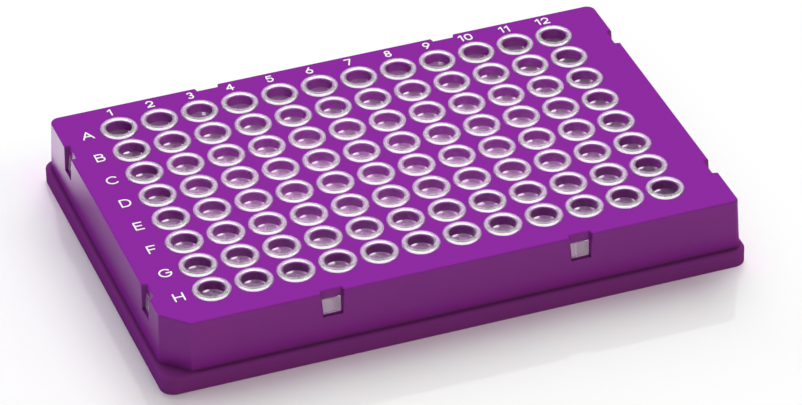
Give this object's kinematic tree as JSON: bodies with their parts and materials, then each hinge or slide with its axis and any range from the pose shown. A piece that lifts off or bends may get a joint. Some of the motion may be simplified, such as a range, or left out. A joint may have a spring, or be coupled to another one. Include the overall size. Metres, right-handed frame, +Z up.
{
  "type": "96-well plate",
  "caption": "Skirted low-profile well plate: rigid purple shell with a flanged base around a clear moulding of thin conical wells with raised rims.",
  "frame": {"origin": "centre of the footprint on the underside of the base flange", "axes": "+X from column 1 to column 12, +Y towards row A, +Z up out of the wells"},
  "size_m": [0.1278, 0.0854, 0.0161],
  "materials": {
    "shell_plastic": "smooth moulded polycarbonate, satin gloss, purple",
    "clear_plastic": "natural clear polypropylene, milky where it is thick",
    "mark_white": "raised opaque white marks"
  },
  "bodies": {
    "root": {"deck_shell": "shell_plastic", "well_moulding": "clear_plastic", "row_letters": "mark_white", "column_numbers": "mark_white"}
  },
  "joints": []
}
